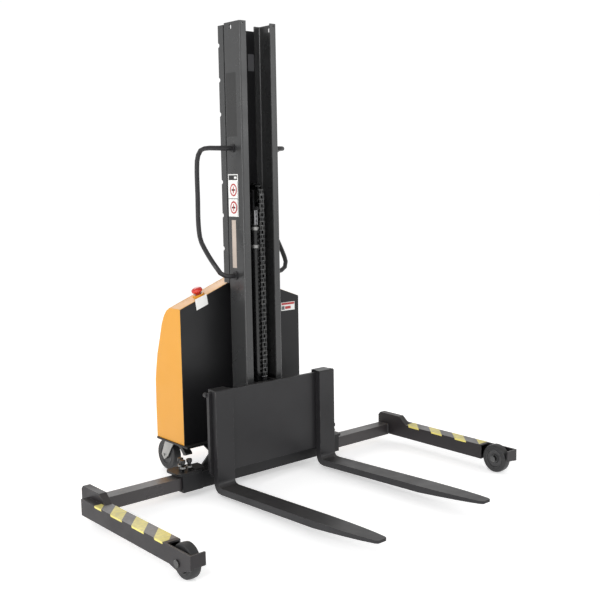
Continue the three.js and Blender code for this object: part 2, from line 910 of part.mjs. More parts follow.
// ---- Forks ----
const shankRear = PLATE_FRONT - 1;
const shankFront = shankRear - FORK_T;
const tipY = shankFront - FORK_LENGTH;
const hookTop = PLATE_HIGH + 9;
const bladeTop = (y) => HEEL_TOP + (FORK_RISE * (shankFront - y)) / FORK_LENGTH;
const TAPER = 0.35; // share of the blade that thins and narrows towards the tip
const taperY = tipY + TAPER * FORK_LENGTH;
const forkProfile = [
  [shankRear, hookTop],
  [shankFront + 4, hookTop],
  [shankFront, hookTop - 5],
  [shankFront, HEEL_TOP + 26],
  [shankFront - 3, HEEL_TOP + 13],
  [shankFront - 11, HEEL_TOP + 4],
  [shankFront - 26, bladeTop(shankFront - 26)],
  [tipY + 4, bladeTop(tipY)],
  [tipY, bladeTop(tipY) - 4],
  [tipY, bladeTop(tipY) - 8],
  [tipY + 6, bladeTop(tipY) - 12],
  [taperY, bladeTop(taperY) - FORK_T],
  [shankFront - 20, bladeTop(shankFront - 20) - FORK_T],
  [shankFront + 3, HEEL_TOP - FORK_T + 4],
  [shankFront + 17, HEEL_TOP - FORK_T + 14],
  [shankRear - 2, HEEL_TOP - FORK_T + 30],
  [shankRear, HEEL_TOP - FORK_T + 50],
];
for (const [name] of sides) {
  const x0 = FORK_X[name];
  const x1 = x0 + FORK_W;
  const mid = (x0 + x1) / 2;
  const plan = new THREE.Shape();
  plan.moveTo(x0, PLATE_REAR);
  plan.lineTo(x0, taperY);
  plan.quadraticCurveTo(x0 + 3, tipY + 110, mid - 26, tipY + 18);
  plan.quadraticCurveTo(mid - 20, tipY, mid - 6, tipY);
  plan.lineTo(mid + 6, tipY);
  plan.quadraticCurveTo(mid + 20, tipY, mid + 26, tipY + 18);
  plan.quadraticCurveTo(x1 - 3, tipY + 110, x1, taperY);
  plan.lineTo(x1, PLATE_REAR);
  const hook = (y0, y1, z0, z1) => box(x0 + 6, x1 - 6, y0, y1, z0, z1);
  const fork = prism("x", forkProfile, x0, x1)
    .intersect(prism("z", plan, -10, 600, 4))
    .add(hook(shankRear - 2, HOOK_REAR, PLATE_HIGH + PLAY, hookTop))
    .add(hook(PLATE_REAR + PLAY, HOOK_REAR, PLATE_HIGH - 20, hookTop))
    .add(hook(shankRear - 2, HOOK_REAR, PLATE_LOW - 16, PLATE_LOW - PLAY))
    .add(hook(PLATE_REAR + PLAY, HOOK_REAR, PLATE_LOW - 16, PLATE_LOW + 14));
  add(`fork_${name}`, fork, "charcoal");
}

// ---- Support legs ----
const STOP_RISE = 36; // the stop block's height over the leg
const STOP_CORNER = 13;
for (const [name, side] of sides) {
  const out = LEG_OUT[name];
  const inn = out - LEG_W;
  const tubeEnd = inn - TUBE_LENGTH;
  const tubeBox = (from, to, wall) =>
    box(
      ...span(side, from, to),
      RECEIVER_Y - tubeHalfD + wall,
      RECEIVER_Y + tubeHalfD - wall,
      RECEIVER_Z - tubeHalfH + wall,
      RECEIVER_Z + tubeHalfH - wall,
    );
  add(
    `leg_tube_${name}`,
    tubeBox(tubeEnd, inn - GAP, 0).subtract(tubeBox(tubeEnd - 10, inn - 20, 6)),
    "charcoal",
  );

  // The beam stops behind the wheel; only its outer plate runs on to the bumper.
  const beamEnd = LOAD_WHEEL_Y + LOAD_WHEEL_R + 7;
  const outerPlate = [
    [LEG_REAR, LEG_LOW],
    [LEG_REAR, LEG_HIGH],
    [-LEG_FRONT, LEG_HIGH],
    [-LEG_FRONT, LEG_LOW + 14],
    [LOAD_WHEEL_Y - 50, LEG_LOW + 4],
    [LOAD_WHEEL_Y - 26, LEG_LOW - 9],
    [LOAD_WHEEL_Y, LEG_LOW - 11],
    [LOAD_WHEEL_Y + 24, LEG_LOW - 6],
    [LOAD_WHEEL_Y + 50, LEG_LOW],
  ];
  const gussetTop = LEG_HIGH + STOP_RISE;
  const gusset = [
    [LEG_REAR, LEG_HIGH - 1],
    [LEG_REAR, gussetTop],
    [LEG_REAR - 90, gussetTop],
    [LEG_REAR - 136, LEG_HIGH - 1],
  ];
  const stopBlock = [
    [LEG_REAR - 10, RECEIVER_Z - tubeHalfH],
    [GUSSET_REAR, RECEIVER_Z - tubeHalfH],
    [GUSSET_REAR, gussetTop - STOP_CORNER],
    [GUSSET_REAR - STOP_CORNER, gussetTop],
    [LEG_REAR - 10, gussetTop],
  ];
  const c = [LOAD_WHEEL_Y, LOAD_WHEEL_R];
  const beam = box(...span(side, out, inn), beamEnd, LEG_REAR, LEG_LOW, LEG_HIGH)
    .subtract(
      box(...span(side, out - 7, inn + 6), beamEnd - 5, LEG_REAR - 8, LEG_LOW + 6, LEG_HIGH - 6),
    )
    .add(prism("x", outerPlate, ...span(side, out, out - 8)))
    .add(box(...span(side, out, inn), -LEG_FRONT, -LEG_FRONT + 7, LEG_LOW + 18, LEG_HIGH))
    .add(prism("x", stopBlock, ...span(side, inn, inn + 31)))
    .add(prism("x", gusset, ...span(side, inn, inn + 31)))
    .subtract(rod("x", c, AXLE_R + GAP, -1000, 1000, 16));
  add(`leg_beam_${name}`, beam, "charcoal");

  const wheelOut = out - 20;
  const wheelIn = wheelOut - LOAD_WHEEL_W;
  const HUB_R = 22;
  const recess = (from, to) =>
    rod("x", c, LOAD_WHEEL_R - 16, ...span(side, from, to), 24).subtract(
      rod("x", c, HUB_R, ...span(side, from - 1, to + 1), 16),
    );
  const wheel = wheelSolid(side * (wheelOut + wheelIn) * 0.5, c, LOAD_WHEEL_R, LOAD_WHEEL_W)
    .subtract(recess(wheelIn - 5, wheelIn + 6))
    .subtract(rod("x", c, AXLE_R + GAP, -1000, 1000, 16));
  add(`load_wheel_${name}`, wheel, "poly");

  const axle = rod("x", c, AXLE_R, ...span(side, out + 1, wheelIn - 6), 16)
    .add(rod("x", c, 14, ...span(side, out + GAP, out + 5), 16))
    .add(rod("x", c, 14, ...span(side, wheelIn - GAP, wheelIn - 8), 6));
  add(`load_axle_${name}`, axle, "zinc");
}

// ---- Swivel casters ----
for (const [name, side] of sides) {
  const x = side * CASTER_X;
  const wheelY = SWIVEL_Y + TRAIL;
  const c = [wheelY, CASTER_R];
  const plateTop = BASE_Z - GAP;
  const plateLow = plateTop - 7;
  const armIn = CASTER_W / 2 + 3;
  const armOut = armIn + 5;
  const crownTop = plateLow - GAP;
  const crownLow = crownTop - 8;
  add(
    `caster_plate_${name}`,
    box(x - 50, x + 50, SWIVEL_Y - 42, SWIVEL_Y + 42, plateLow, plateTop),
    "zinc",
  );

  const arm = [
    [SWIVEL_Y - 36, crownTop - 4],
    [SWIVEL_Y + 36, crownTop - 4],
    [wheelY + 22, CASTER_R],
    [wheelY + 2, CASTER_R - 22],
    [wheelY - 30, CASTER_R],
  ];
  let yoke = box(x - armOut, x + armOut, SWIVEL_Y - 36, SWIVEL_Y + 36, crownLow, crownTop - 3).add(
    rod("z", [x, SWIVEL_Y], 28, crownLow, crownTop, 20),
  );
  for (const s of [-1, 1])
    yoke = yoke.add(prism("x", arm, s < 0 ? x - armOut : x + armIn, s < 0 ? x - armIn : x + armOut));
  yoke = yoke.add(rod("x", c, 6, x - armOut - 5, x + armOut + 5, 12));
  add(`caster_yoke_${name}`, yoke, "zinc");

  add(
    `caster_wheel_${name}`,
    wheelSolid(x, c, CASTER_R, CASTER_W).subtract(rod("x", c, 6 + GAP, x - 60, x + 60, 12)),
    "rubber",
  );

  const hingeY = SWIVEL_Y - 46;
  const hingeZ = crownLow - 10;
  const pedal = prism(
    "x",
    [
      [hingeY + 6, hingeZ - 6],
      [hingeY + 6, hingeZ + 5],
      [hingeY - 12, hingeZ + 5],
      [hingeY - 62, hingeZ - 34],
      [hingeY - 62, hingeZ - 42],
      [hingeY - 44, hingeZ - 46],
      [hingeY - 14, hingeZ - 16],
    ],
    x - 18,
    x + 18,
  ).add(rod("x", [hingeY, hingeZ], 6, x - 22, x + 22, 12));
  add(`caster_brake_${name}`, pedal, "plastic");
}

// The whole stacker is centred over the middle of its footprint, floor at z = 0.
stacker.updateMatrixWorld(true);
const bounds = new THREE.Box3().setFromObject(stacker);
const middle = bounds.getCenter(new THREE.Vector3());
stacker.position.set(-middle.x, -middle.y, 0);

export default stacker;
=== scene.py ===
# %% [markdown]
# # A walkie stacker
# A push-along stacker lifts pallets on two forks that ride up a mast. The frame holds its
# bodies, joints and sizes, which never change here. This lesson gives every piece its finish,
# adds the small parts that carry the look, such as chain links, screw threads, tape and
# labels, and sets up a plain studio.

# %% Start
import json
import math
import random

import bmesh
import bpy
from mathutils import Matrix, Vector


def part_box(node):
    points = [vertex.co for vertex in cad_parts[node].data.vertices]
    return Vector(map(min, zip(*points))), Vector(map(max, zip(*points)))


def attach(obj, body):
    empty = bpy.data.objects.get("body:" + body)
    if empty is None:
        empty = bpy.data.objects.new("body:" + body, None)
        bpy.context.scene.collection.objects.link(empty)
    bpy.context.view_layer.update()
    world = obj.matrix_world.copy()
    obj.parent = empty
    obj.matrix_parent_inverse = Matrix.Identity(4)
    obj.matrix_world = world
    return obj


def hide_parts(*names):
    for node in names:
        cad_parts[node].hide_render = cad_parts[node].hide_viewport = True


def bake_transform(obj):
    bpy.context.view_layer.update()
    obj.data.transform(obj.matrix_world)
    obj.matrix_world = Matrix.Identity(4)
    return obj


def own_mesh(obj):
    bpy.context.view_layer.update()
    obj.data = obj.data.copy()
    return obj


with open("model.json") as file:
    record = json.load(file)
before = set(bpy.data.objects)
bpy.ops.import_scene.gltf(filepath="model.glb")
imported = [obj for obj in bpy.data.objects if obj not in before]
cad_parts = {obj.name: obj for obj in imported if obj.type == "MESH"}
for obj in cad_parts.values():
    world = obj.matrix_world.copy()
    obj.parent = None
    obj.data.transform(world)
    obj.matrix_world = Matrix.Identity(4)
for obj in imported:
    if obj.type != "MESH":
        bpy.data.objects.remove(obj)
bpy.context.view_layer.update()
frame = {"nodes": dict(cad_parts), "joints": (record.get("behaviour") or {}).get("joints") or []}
nodes = frame["nodes"]
random.seed(7)

# %% [markdown]
# ## Places
# A drawing of this machine would be measured from the middle of the mast. Blender works in
# metres, so every length could be written in metres. Millimetres from the mast's front read
# more easily, and `at` turns them into a point of the frame.

# %% Places
MM = 0.001
plate_low, plate_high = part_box("mast_back_plate")
MIDDLE_X = (plate_low.x + plate_high.x) / 2
MAST_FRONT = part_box("mast_channel_left")[0].y


def at(x, y, z):
    """A point in metres, given in millimetres from the middle of the mast's front."""
    return Vector((MIDDLE_X + x * MM, MAST_FRONT + y * MM, z * MM))


def span(node):
    """The lowest and highest corner of a CAD node, in the same millimetres as at()."""
    low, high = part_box(node)
    corner = at(0, 0, 0)
    return (low - corner) / MM, (high - corner) / MM


print("middle", round(MIDDLE_X, 3), "mast front", round(MAST_FRONT, 3))

# %% [markdown]
# ## Shared effects
# Nearly every surface of the machine has worn corners, fine grain, dust and faint smudges; on
# the inner tubes' tops the dust is partly painted sheen.
# They could be painted by hand, or built again in each material. One node group for each
# effect keeps them alike: it gives out a mask, a value or a normal, and each material mixes
# that into its own surface by its own amount.


# %% Shared effects
def new_group(name, inputs, outputs):
    """An empty node group with those sockets, and its two end nodes."""
    tree = bpy.data.node_groups.new(name, "ShaderNodeTree")
    for label, value in inputs:
        socket = tree.interface.new_socket(label, in_out="INPUT", socket_type="NodeSocketFloat")
        socket.default_value = value
    for label, kind in outputs:
        tree.interface.new_socket(label, in_out="OUTPUT", socket_type=kind)
    return tree, tree.nodes.new("NodeGroupInput"), tree.nodes.new("NodeGroupOutput")


def noise(tree, scale, detail):
    """Noise in the piece's own rest coordinates, so that it travels with the piece."""
    place = tree.nodes.new("ShaderNodeTexCoord")
    texture = tree.nodes.new("ShaderNodeTexNoise")
    texture.inputs["Detail"].default_value = detail
    if not isinstance(scale, (int, float)):
        tree.links.new(scale, texture.inputs["Scale"])
    else:
        texture.inputs["Scale"].default_value = scale
    tree.links.new(place.outputs["Object"], texture.inputs["Vector"])
    return texture.outputs["Fac"]


def remap(tree, source, low, high, to_low=0.0, to_high=1.0):
    """source from low..high to to_low..to_high, clamped."""
    node = tree.nodes.new("ShaderNodeMapRange")
    tree.links.new(source, node.inputs["Value"])
    for label, value in (
        ("From Min", low),
        ("From Max", high),
        ("To Min", to_low),
        ("To Max", to_high),
    ):
        node.inputs[label].default_value = value
    return node.outputs["Result"]


def maths(tree, operation, a, b):
    """One maths node; a and b are sockets or plain numbers."""
    node = tree.nodes.new("ShaderNodeMath")
    node.operation = operation
    for socket, value in zip(node.inputs, (a, b)):
        if isinstance(value, (int, float)):
            socket.default_value = value
        else:
            tree.links.new(value, socket)
    return node.outputs[0]


def make_grain():
    """Fine bumps: the orange peel of powder coat, the skin of moulded plastic and rubber."""
    tree, start, end = new_group(
        "grain", [("Scale", 400.0), ("Height", 0.1)], [("Normal", "NodeSocketVector")]
    )
    value = noise(tree, start.outputs["Scale"], 2.0)
    bump = tree.nodes.new("ShaderNodeBump")
    bump.inputs["Distance"].default_value = 0.0004
    tree.links.new(value, bump.inputs["Height"])
    tree.links.new(start.outputs["Height"], bump.inputs["Strength"])
    tree.links.new(bump.outputs["Normal"], end.inputs["Normal"])
    return tree


def make_edge_wear():
    """A mask along sharp edges: where a rounded normal leaves the flat one."""
    tree, start, end = new_group(
        "edge wear", [("Width", 0.002), ("Amount", 0.5)], [("Mask", "NodeSocketFloat")]
    )
    rounded = tree.nodes.new("ShaderNodeBevel")
    rounded.samples = 4
    tree.links.new(start.outputs["Width"], rounded.inputs["Radius"])
    flat = tree.nodes.new("ShaderNodeNewGeometry")
    dot = tree.nodes.new("ShaderNodeVectorMath")
    dot.operation = "DOT_PRODUCT"
    tree.links.new(rounded.outputs["Normal"], dot.inputs[0])
    tree.links.new(flat.outputs["Normal"], dot.inputs[1])
    edge = remap(tree, dot.outputs["Value"], 0.995, 0.85)
    patchy = remap(tree, noise(tree, 60.0, 5.0), 0.42, 0.62)
    worn = maths(tree, "MULTIPLY", edge, patchy)
    tree.links.new(
        maths(tree, "MULTIPLY", worn, start.outputs["Amount"]), end.inputs["Mask"]
    )
    return tree


def make_dust_and_top_light():
    """A mask on faces that look up, thicker in soft patches: dust, and on the inner tubes painted top
    light.
    """
    tree, start, end = new_group("dust", [("Amount", 0.3)], [("Mask", "NodeSocketFloat")])
    geometry = tree.nodes.new("ShaderNodeNewGeometry")
    split = tree.nodes.new("ShaderNodeSeparateXYZ")
    tree.links.new(geometry.outputs["Normal"], split.inputs["Vector"])
    up = remap(tree, split.outputs["Z"], 0.2, 1.0)
    patch = remap(tree, noise(tree, 14.0, 6.0), 0.3, 0.75, 0.35, 1.0)
    both = maths(tree, "MULTIPLY", up, patch)
    tree.links.new(maths(tree, "MULTIPLY", both, start.outputs["Amount"]), end.inputs["Mask"])
    return tree


def make_smudge():
    """Slow, soft changes across a surface."""
    tree, start, end = new_group("smudge", [("Scale", 8.0)], [("Soft", "NodeSocketFloat")])
    tree.links.new(noise(tree, start.outputs["Scale"], 5.0), end.inputs["Soft"])
    return tree


GRAIN = make_grain()
EDGE_WEAR = make_edge_wear()
DUST_AND_TOP_LIGHT = make_dust_and_top_light()
SMUDGE = make_smudge()
print("shared groups", [g.name for g in (GRAIN, EDGE_WEAR, DUST_AND_TOP_LIGHT, SMUDGE)])


# %% [markdown]
# ## Finishes
# The machine is powder-coated steel in black and orange, with bright zinc, oiled steel,
# rubber and plastic. Each could be a node tree of its own. They differ only in colour, gloss
# and how worn they are, so one function builds them all, and the values can be compared.


# %% Finishes
SMUDGE_SCALE = 9.0
WEAR_WIDTH = 0.0022  # how far wear reaches in from a corner, in metres
SMUDGE_SHADE = 0.45  # the share of the colour that is left under a smudge


def use_group(tree, group, **values):
    """A group node with its inputs set by name."""
    node = tree.nodes.new("ShaderNodeGroup")
    node.node_tree = group
    for key, value in values.items():
        node.inputs[key].default_value = value
    return node


def mix(tree, mask, a, b):
    """Colour a where the mask is 0 and b where it is 1."""
    node = tree.nodes.new("ShaderNodeMix")
    node.data_type = "RGBA"
    factor, first, second = node.inputs[0], node.inputs[6], node.inputs[7]
    for socket, value in ((factor, mask), (first, a), (second, b)):
        if isinstance(value, bpy.types.NodeSocket):
            tree.links.new(value, socket)
        elif isinstance(value, (int, float)):
            socket.default_value = value
        else:
            socket.default_value = (*value, 1.0)
    return node.outputs[2]


def finish(
    name,
    colour,
    rough=0.45,
    metal=0.0,
    shine=0.5,
    worn=(0.3, 0.3, 0.3),
    wear=0.0,
    dust_and_top_light=0.0,
    dust_and_top_light_colour=(0.42, 0.40, 0.37),
    grain=(500.0, 0.08),
    vary=0.15,
    coat=0.0,
):
    """A Principled surface that carries the shared effects; grain is its scale and height."""
    material = bpy.data.materials.new(name)
    material.use_nodes = True
    tree = material.node_tree
    surface = tree.nodes["Principled BSDF"]
    smudge = use_group(tree, SMUDGE, Scale=SMUDGE_SCALE)
    darker = remap(tree, smudge.outputs["Soft"], 0.35, 0.7, 0.0, vary)
    shade = mix(tree, darker, colour, tuple(c * SMUDGE_SHADE for c in colour))
    if wear:
        mask = use_group(tree, EDGE_WEAR, Width=WEAR_WIDTH, Amount=wear).outputs["Mask"]
        shade = mix(tree, mask, shade, worn)
    if dust_and_top_light:
        mask = use_group(tree, DUST_AND_TOP_LIGHT, Amount=dust_and_top_light).outputs["Mask"]
        shade = mix(tree, mask, shade, dust_and_top_light_colour)
    tree.links.new(shade, surface.inputs["Base Color"])
    spread = remap(tree, smudge.outputs["Soft"], 0.3, 0.7, rough - 0.07, rough + 0.09)
    tree.links.new(spread, surface.inputs["Roughness"])
    bumps = use_group(tree, GRAIN, Scale=grain[0], Height=grain[1])
    tree.links.new(bumps.outputs["Normal"], surface.inputs["Normal"])
    surface.inputs["Metallic"].default_value = metal
    surface.inputs["Specular IOR Level"].default_value = shine
    surface.inputs["Coat Weight"].default_value = coat
    surface.inputs["Coat Roughness"].default_value = 0.12
    return material


COAT = {
    "black": finish(
        "black powder coat", (0.0095, 0.0095, 0.0105), 0.4, shine=0.3, wear=0.25, dust_and_top_light=0.07
    ),
    "charcoal": finish(
        "charcoal powder coat", (0.0175, 0.017, 0.0185), 0.36, shine=0.33, wear=0.3, dust_and_top_light=0.07
    ),
    # The mast paint is lighter than the black coat: a painted sheen that stands in for light on the
    # channels' front lips.
    "mast": finish(
        "mast paint with painted sheen", (0.034, 0.0345, 0.035), 0.28, shine=0.5, wear=0.3, dust_and_top_light=0.05
    ),
    "gloss": finish(
        "gloss black barrel", (0.006, 0.006, 0.0065), 0.2, shine=0.55, wear=0.2
    ),
    "leg": finish(
        "leg paint", (0.019, 0.0165, 0.018), 0.4, shine=0.32, wear=0.35, dust_and_top_light=0.1
    ),
    # The inner tubes' lighter colour and heavy dust on their tops are partly real dust, partly
    # painted sheen for the light on the tube tops.
    "tube": finish(
        "inner tube paint with painted top sheen",
        (0.034, 0.03, 0.031),
        0.34,
        shine=0.5,
        wear=0.45,
        worn=(0.22, 0.2, 0.19),
        dust_and_top_light=0.14,
    ),
}
ORANGE = finish(
    "orange enamel",
    (0.69, 0.312, 0.028),
    0.36,
    shine=0.35,
    worn=(0.9, 0.5, 0.12),
    wear=0.25,
    grain=(260.0, 0.03),
    vary=0.03,
    coat=0.1,
)
ZINC = finish(
    "bright zinc",
    (0.4, 0.4, 0.39),
    0.4,
    metal=1.0,
    worn=(0.25, 0.24, 0.22),
    wear=0.3,
    grain=(900.0, 0.2),
    vary=0.35,
)
OILED_STEEL = finish(
    "oiled steel",
    (0.072, 0.073, 0.074),
    0.34,
    metal=1.0,
    worn=(0.3, 0.29, 0.27),
    wear=0.4,
    grain=(900.0, 0.15),
    vary=0.4,
)
# The pins are much lighter than the plates: partly bare pin steel, partly a painted highlight along
# the chain's rungs.
PIN_STEEL_AND_HIGHLIGHT = finish(
    "chain pin steel and painted highlight",
    (0.46, 0.465, 0.47),
    0.38,
    metal=1.0,
    grain=(900.0, 0.15),
    vary=0.4,
)
AXLE_STEEL = finish(
    "axle steel",
    (0.13, 0.13, 0.13),
    0.4,
    metal=1.0,
    worn=(0.6, 0.6, 0.58),
    wear=0.8,
    grain=(900.0, 0.2),
    vary=0.4,
)
CHROME = finish(
    "hard chrome",
    (0.3, 0.3, 0.31),
    0.14,
    metal=1.0,
    grain=(1500.0, 0.03),
    vary=0.08,
)
TREAD = finish(
    "black wheel tread",
    (0.022, 0.022, 0.023),
    0.5,
    shine=0.4,
    worn=(0.09, 0.085, 0.08),
    wear=0.35,
    dust_and_top_light=0.05,
    grain=(700.0, 0.25),
)
HUB = finish(
    "moulded wheel core",
    (0.035, 0.035, 0.036),
    0.42,
    worn=(0.15, 0.15, 0.15),
    wear=0.3,
    grain=(800.0, 0.2),
)
PLASTIC = finish(
    "black plastic",
    (0.012, 0.012, 0.013),
    0.38,
    worn=(0.07, 0.07, 0.07),
    wear=0.3,
    dust_and_top_light=0.06,
    grain=(900.0, 0.25),
)
RED = finish(
    "red button plastic",
    (0.6, 0.03, 0.018),
    0.27,
    worn=(0.8, 0.2, 0.15),
    wear=0.2,
    grain=(700.0, 0.05),
    vary=0.1,
    coat=0.3,
)
CASE = finish(
    "battery case", (0.03, 0.035, 0.045), 0.5, wear=0.2, dust_and_top_light=0.15, grain=(500.0, 0.3)
)
HOSE = finish("hose rubber", (0.014, 0.014, 0.014), 0.55, dust_and_top_light=0.1, grain=(1200.0, 0.3))
print("finishes", len(bpy.data.materials))

# %% [markdown]
# ## The CAD pieces
# Tubes, plates and covers of sawn and pressed steel never have quite sharp edges. Their
# bevels could be cut into each mesh, but these shapes must stay as they are. Modifiers leave
# the mesh alone: they round each corner a little, and shade smoothly over round faces only.


# %% The CAD pieces
TOUCHING = 0.00001  # points closer than this, in metres, are one
CORNER_ANGLE = math.radians(38)  # faces that meet at more than this make an edge


def make_smoother():
    """A geometry group: joins doubled points, and shades smoothly except at sharp edges."""
    tree = bpy.data.node_groups.new("smooth over round faces", "GeometryNodeTree")
    tree.interface.new_socket("Geometry", in_out="INPUT", socket_type="NodeSocketGeometry")
    tree.interface.new_socket("Geometry", in_out="OUTPUT", socket_type="NodeSocketGeometry")
    start = tree.nodes.new("NodeGroupInput")
    end = tree.nodes.new("NodeGroupOutput")
    merge = tree.nodes.new("GeometryNodeMergeByDistance")
    merge.inputs["Distance"].default_value = TOUCHING
    angle = tree.nodes.new("GeometryNodeInputMeshEdgeAngle")
    limit = tree.nodes.new("FunctionNodeCompare")
    limit.operation = "LESS_THAN"
    limit.inputs["B"].default_value = CORNER_ANGLE
    faces = tree.nodes.new("GeometryNodeSetShadeSmooth")
    faces.domain = "FACE"
    edges = tree.nodes.new("GeometryNodeSetShadeSmooth")
    edges.domain = "EDGE"
    tree.links.new(start.outputs[0], merge.inputs["Geometry"])
    tree.links.new(merge.outputs["Geometry"], faces.inputs["Geometry"])
    tree.links.new(faces.outputs["Geometry"], edges.inputs["Geometry"])
    tree.links.new(angle.outputs["Unsigned Angle"], limit.inputs["A"])
    tree.links.new(limit.outputs["Result"], edges.inputs["Shade Smooth"])
    tree.links.new(edges.outputs["Geometry"], end.inputs[0])
    return tree


SMOOTHER = make_smoother()


def soften(piece, bevel):
    """Bevelled edges of that width in mm, smooth rounds and crisp corners."""
    weld = piece.modifiers.new("join points", "WELD")
    weld.merge_threshold = TOUCHING
    if bevel:
        edge = piece.modifiers.new("small bevel", "BEVEL")
        edge.width = bevel * MM
        edge.segments = 2
        edge.limit_method = "ANGLE"
        edge.angle_limit = CORNER_ANGLE
    shade = piece.modifiers.new("shading", "NODES")
    shade.node_group = SMOOTHER
    weighted = piece.modifiers.new("flat faces stay flat", "WEIGHTED_NORMAL")
    weighted.keep_sharp = True
    return piece


def dress(name, material, bevel=1.0):
    """The finish and the bevel of one CAD node."""
    piece = nodes[name]
    piece.data.materials.clear()
    piece.data.materials.append(material)
    for layer in ("custom_normal", "sharp_edge", "sharp_face"):
        if layer in piece.data.attributes:
            piece.data.attributes.remove(piece.data.attributes[layer])
    return soften(piece, bevel)


SIDES = ("left", "right")
LEVELS = ("lower", "upper")
for name in ("receiver_tube", "base_frame", "oil_tank", "crosshead", "chain_anchor"):
    dress(name, COAT["black"], 1.2)
dress("mast_back_plate", COAT["black"], 0.6)
dress("front_panel", COAT["black"], 0.8)
dress("lift_cylinder", COAT["gloss"], 0.8)
dress("carriage_plate", COAT["charcoal"], 2.0)
dress("rear_cover", ORANGE, 1.2)
dress("lift_rod", CHROME, 0.6)
dress("pump_unit", OILED_STEEL, 1.0)
dress("chain_sheave", OILED_STEEL, 0.6)
dress("key_switch", ZINC, 0.6)
dress("lift_lever", PLASTIC, 0.8)
dress("battery", CASE, 3.0)
dress("hydraulic_hose", HOSE, 0.0)
for level in LEVELS:
    dress("cylinder_clamp_" + level, ZINC, 0.5)
for side in SIDES:
    dress("mast_channel_" + side, COAT["mast"], 2.4)
    dress("guard_strip_" + side, COAT["mast"], 0.8)
    dress("push_handle_" + side, COAT["charcoal"], 0.6)
    dress("carriage_arm_" + side, COAT["charcoal"], 1.2)
    dress("fork_" + side, COAT["charcoal"], 2.2)
    dress("leg_tube_" + side, COAT["tube"], 1.2)
    dress("leg_beam_" + side, COAT["leg"], 1.6)
    dress("load_axle_" + side, AXLE_STEEL, 0.6)
    dress("caster_plate_" + side, ZINC, 0.8)
    dress("caster_yoke_" + side, ZINC, 0.8)
    dress("caster_brake_" + side, PLASTIC, 1.0)
    for level in LEVELS:
        dress("mast_roller_" + side + "_" + level, OILED_STEEL, 0.8)
print("dressed", sum(1 for node in nodes.values() if node.modifiers), "of", len(nodes))

# %% [markdown]
# ## Building small parts
# Links are punched from plate, and wheels, pins and screws are turned on a lathe. They could
# start from Blender's own cylinders, with many small edits. A `Shape` works as the shop
# does: it gathers turned forms and flat plates, and then makes one mesh of them.


# %% Building small parts
def across(axis):
    """Two directions at right angles to axis and to each other."""
    axis = Vector(axis).normalized()
    helper = Vector((0, 0, 1)) if abs(axis.z) < 0.9 else Vector((0, 1, 0))
    first = axis.cross(helper).normalized()
    return axis, first, axis.cross(first)


class Shape:
    """Points and faces of several closed forms; mark picks the material of what comes next."""

    def __init__(self):
        self.points, self.faces, self.marks, self.mark = [], [], [], 0

    def add(self, points, faces):
        """One closed form, in metres."""
        first = len(self.points)
        self.points += [Vector(p) for p in points]
        self.faces += [[first + i for i in face] for face in faces]
        self.marks += [self.mark] * len(faces)

    def turned(self, centre, axis, profile, steps=48):
        """A profile of (along the axis, radius) in mm, turned about the axis through centre."""
        axis, u, v = across(axis)
        points, rings = [], []
        for along, radius in profile:
            middle = centre + axis * along * MM
            if radius == 0:
                rings.append([len(points)] * steps)
                points.append(middle)
                continue
            rings.append(list(range(len(points), len(points) + steps)))
            for i in range(steps):
                turn = math.tau * i / steps
                points.append(middle + (u * math.cos(turn) + v * math.sin(turn)) * radius * MM)
        faces = []
        for low, high in zip(rings, rings[1:]):
            for i in range(steps):
                j = (i + 1) % steps
                ring = [low[i], low[j], high[j], high[i]]
                faces.append(list(dict.fromkeys(ring)))
        self.add(points, faces)

    def plate(self, outline, start, end):
        """A flat plate: outline points in metres at start, pushed by the vector end."""
        count = len(outline)
        near = [Vector(p) + start for p in outline]
        points = near + [p + end for p in near]
        faces = [list(range(count))[::-1], list(range(count, 2 * count))]
        for i in range(count):
            j = (i + 1) % count
            faces.append([i, j, count + j, count + i])
        self.add(points, faces)

    def make(self, name, body, materials, replaces=(), slot=None, bevel=0.0):
        """The mesh as an object that rides on a body."""
        mesh = bpy.data.meshes.new(name)
        mesh.from_pydata([tuple(p) for p in self.points], [], self.faces)
        for material in materials:
            mesh.materials.append(material)
        mesh.polygons.foreach_set("material_index", self.marks)
        mesh.validate()
        made = bpy.data.objects.new(name, mesh)
        bpy.context.scene.collection.objects.link(made)
        recalculate(mesh)
        soften(made, bevel)
        if replaces:
            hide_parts(*replaces)
        if body:
            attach(made, body)
        return made


def recalculate(mesh):
    """Turn the faces of every closed form outwards."""
    work = bmesh.new()
    work.from_mesh(mesh)
    bmesh.ops.recalc_face_normals(work, faces=work.faces)
    work.to_mesh(mesh)
    work.free()


# %% [markdown]
# ## Lift chain
# A leaf chain pulls the forks up: pins a pitch apart join flat plates, in turn further out
# and further in. One link could be repeated along a curve by an array. A loop over the pins
# is plainer here, because the chain is in three runs that move differently: as the mast
# lifts, the front run shortens towards the sheave, the rear run stretches up to it, and the
# run over the sheave rides along. Each run here is rigid: the front run and the run over the
# sheave ride on the lift ram, and the rear run stays put.

# %% Lift chain
PITCH = 19.05
LINK_T = 2.3
PIN_R = 3.6
LINK_R = 5.2
ODD_INSETS = (1.6, 6.6)  # how far in from the pins' ends an odd link's plates stand
EVEN_INSET = 4.1  # the same for an even link's outer plates
EVEN_MIDDLE = 1.3  # and how far its inner plates stand from the chain's middle
RUN_END = 1  # a run's last pin stands this far inside its end


def link_plate(shape, a, b, x, thickness):
    """A stadium-shaped plate round two pins a and b, both (y, z) in mm, at x."""
    turn = math.atan2(b[1] - a[1], b[0] - a[0])
    outline = []
    for centre, start in ((b, -90), (a, 90)):
        for step in range(7):
            angle = turn + math.radians(start + step * 30)
            outline.append(
                at(x, centre[0] + LINK_R * math.cos(angle), centre[1] + LINK_R * math.sin(angle))
            )
    shape.plate(outline, Vector((-thickness * MM / 2, 0, 0)), Vector((thickness * MM, 0, 0)))


